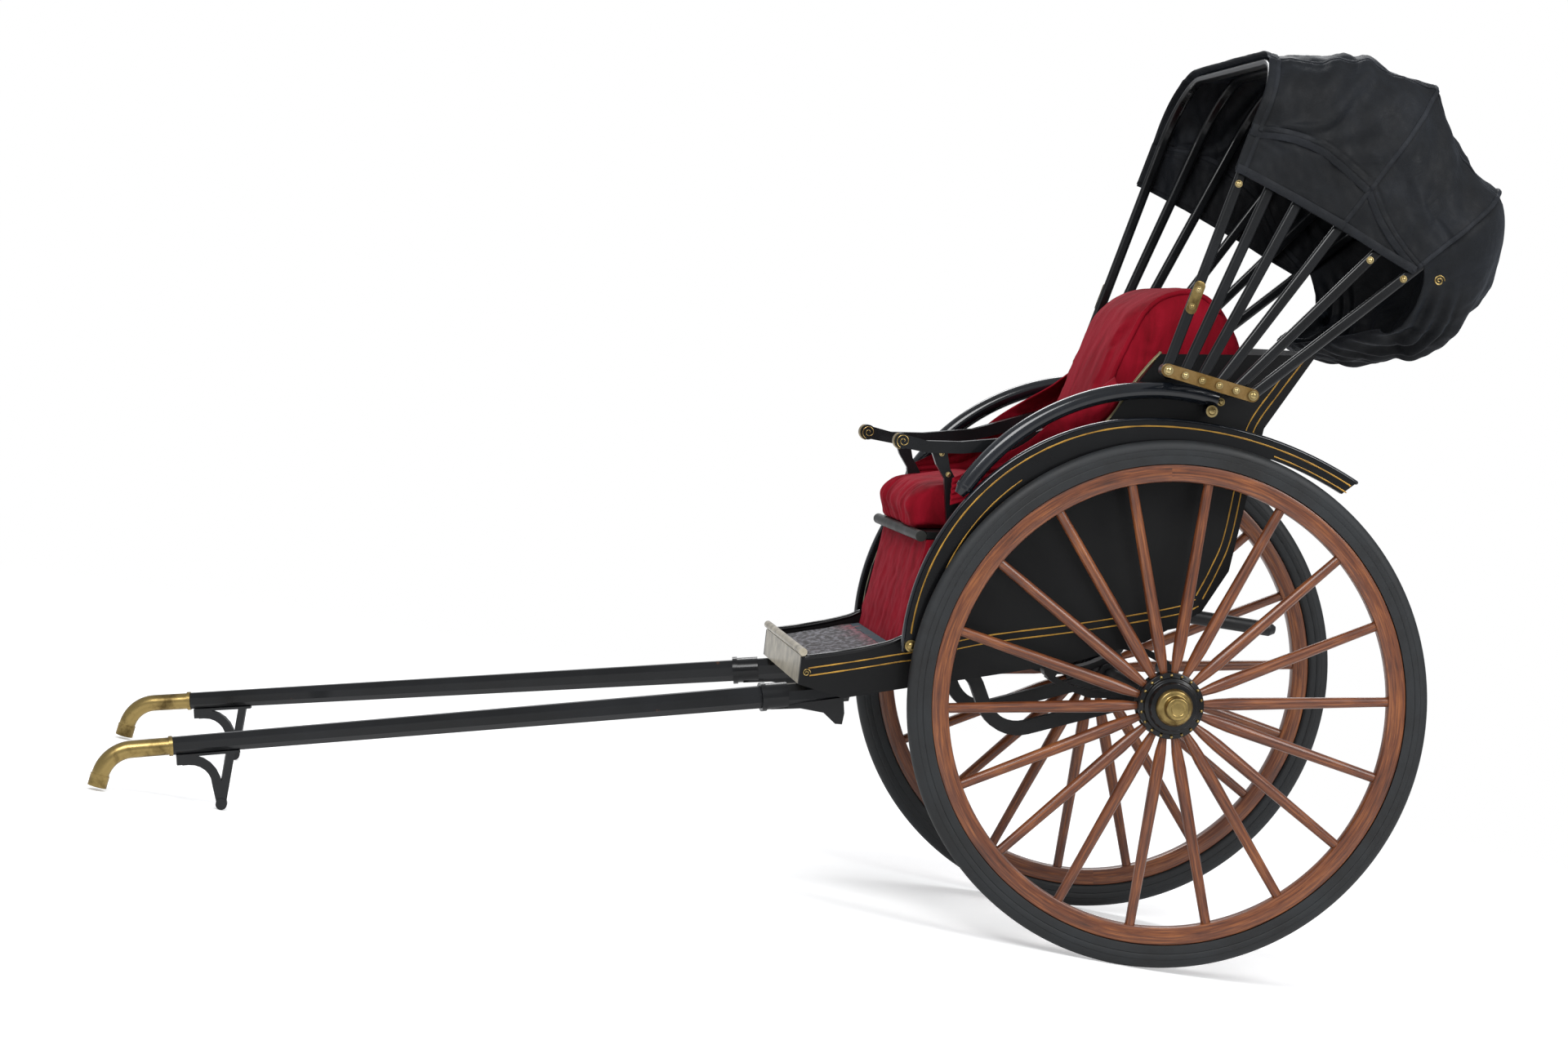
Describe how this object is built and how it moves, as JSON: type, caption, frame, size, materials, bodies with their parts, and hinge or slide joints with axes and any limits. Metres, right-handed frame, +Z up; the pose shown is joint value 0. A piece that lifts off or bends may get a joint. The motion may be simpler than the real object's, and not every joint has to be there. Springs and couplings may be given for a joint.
{
  "type": "pulled rickshaw",
  "caption": "Two-wheeled passenger cart pulled by hand between two shafts, with a padded seat, spoked wheels and a folding bow-framed hood, parked on its shaft stands.",
  "frame": {"origin": "centre of the bounding box at the floor it parks on", "axes": "+X to the rear of the cart, the shafts towards -X; +Y to the passenger's right; +Z up"},
  "size_m": [2.6539, 0.912, 1.8864],
  "materials": {
    "black_iron": "gloss black enamel",
    "black_lacquer": "black lacquer",
    "brass": "worn satin",
    "hood_cloth": "matte oilcloth",
    "mat": "woven",
    "seat_rail": "satin",
    "toe_metal": "worn",
    "tyre": "matte",
    "varnished_wood": "varnished",
    "velvet": "velvet"
  },
  "bodies": {
    "carriage": {"axle": "black_iron", "springs": "black_iron", "braces": "black_iron", "underframe": "black_lacquer", "rear_bar": "black_iron", "left_side_panel": "black_lacquer", "right_side_panel": "black_lacquer", "floor_board": "black_lacquer", "toe_board": "black_lacquer", "toe_edge": "toe_metal", "floor_mat": "mat", "riser": "velvet", "seat_board": "black_lacquer", "seat_rail": "seat_rail", "seat_cushion": "velvet", "back_panel": "black_lacquer", "backrest": "velvet", "left_armrest": "black_lacquer", "right_armrest": "black_lacquer", "left_side_rail": "black_lacquer", "right_side_rail": "black_lacquer", "left_fender": "black_lacquer", "right_fender": "black_lacquer", "left_shaft": "black_lacquer", "right_shaft": "black_lacquer", "left_grip": "brass", "right_grip": "brass", "left_stand": "black_iron", "right_stand": "black_iron", "sockets": "black_iron", "left_hood_plate": "brass", "right_hood_plate": "brass", "hood_carriers": "black_iron", "rear_bow": "black_lacquer", "hood_cloth": "hood_cloth", "rear_curtain": "hood_cloth"},
    "left_wheel": {"left_tyre": "tyre", "left_rim": "varnished_wood", "left_spokes": "varnished_wood", "left_hub": "black_lacquer", "left_hub_cap": "brass"},
    "right_wheel": {"right_tyre": "tyre", "right_rim": "varnished_wood", "right_spokes": "varnished_wood", "right_hub": "black_lacquer", "right_hub_cap": "brass"},
    "front_bow_body": {"front_bow": "black_lacquer"},
    "second_bow_body": {"second_bow": "black_lacquer"},
    "third_bow_body": {"third_bow": "black_lacquer"},
    "fourth_bow_body": {"fourth_bow": "black_lacquer"},
    "fifth_bow_body": {"fifth_bow": "black_lacquer"}
  },
  "joints": [
    {"name": "left_wheel_spin", "type": "hinge", "parent": "carriage", "child": "left_wheel", "pos_m": [0.73723, -0.374, 0.53], "axis": [0, 1, 0], "continuous": true},
    {"name": "right_wheel_spin", "type": "hinge", "parent": "carriage", "child": "right_wheel", "pos_m": [0.73723, 0.374, 0.53], "axis": [0, 1, 0], "continuous": true},
    {"name": "hood_fold", "type": "hinge", "parent": "carriage", "child": "front_bow_body", "pos_m": [0.58823, 0, 1.18359], "axis": [0, 1, 0], "range_deg": [-45, 32], "deforming": ["hood_cloth"]},
    {"name": "second_bow_fold", "type": "hinge", "parent": "carriage", "child": "second_bow_body", "pos_m": [0.62367, 0, 1.18016], "axis": [0, 1, 0], "range_deg": [-39.88, 28.5]},
    {"name": "third_bow_fold", "type": "hinge", "parent": "carriage", "child": "third_bow_body", "pos_m": [0.6591, 0, 1.17672], "axis": [0, 1, 0], "range_deg": [-34.25, 24.5]},
    {"name": "fourth_bow_fold", "type": "hinge", "parent": "carriage", "child": "fourth_bow_body", "pos_m": [0.69453, 0, 1.17328], "axis": [0, 1, 0], "range_deg": [-21.59, 15.5]},
    {"name": "fifth_bow_fold", "type": "hinge", "parent": "carriage", "child": "fifth_bow_body", "pos_m": [0.72997, 0, 1.16985], "axis": [0, 1, 0], "range_deg": [-9.64, 7]}
  ],
  "couplings": [
    {"joint": "second_bow_fold", "follows": "hood_fold", "ratio": 0.875},
    {"joint": "third_bow_fold", "follows": "hood_fold", "ratio": 0.75},
    {"joint": "fourth_bow_fold", "follows": "hood_fold", "ratio": 0.46875},
    {"joint": "fifth_bow_fold", "follows": "hood_fold", "ratio": 0.20312}
  ]
}
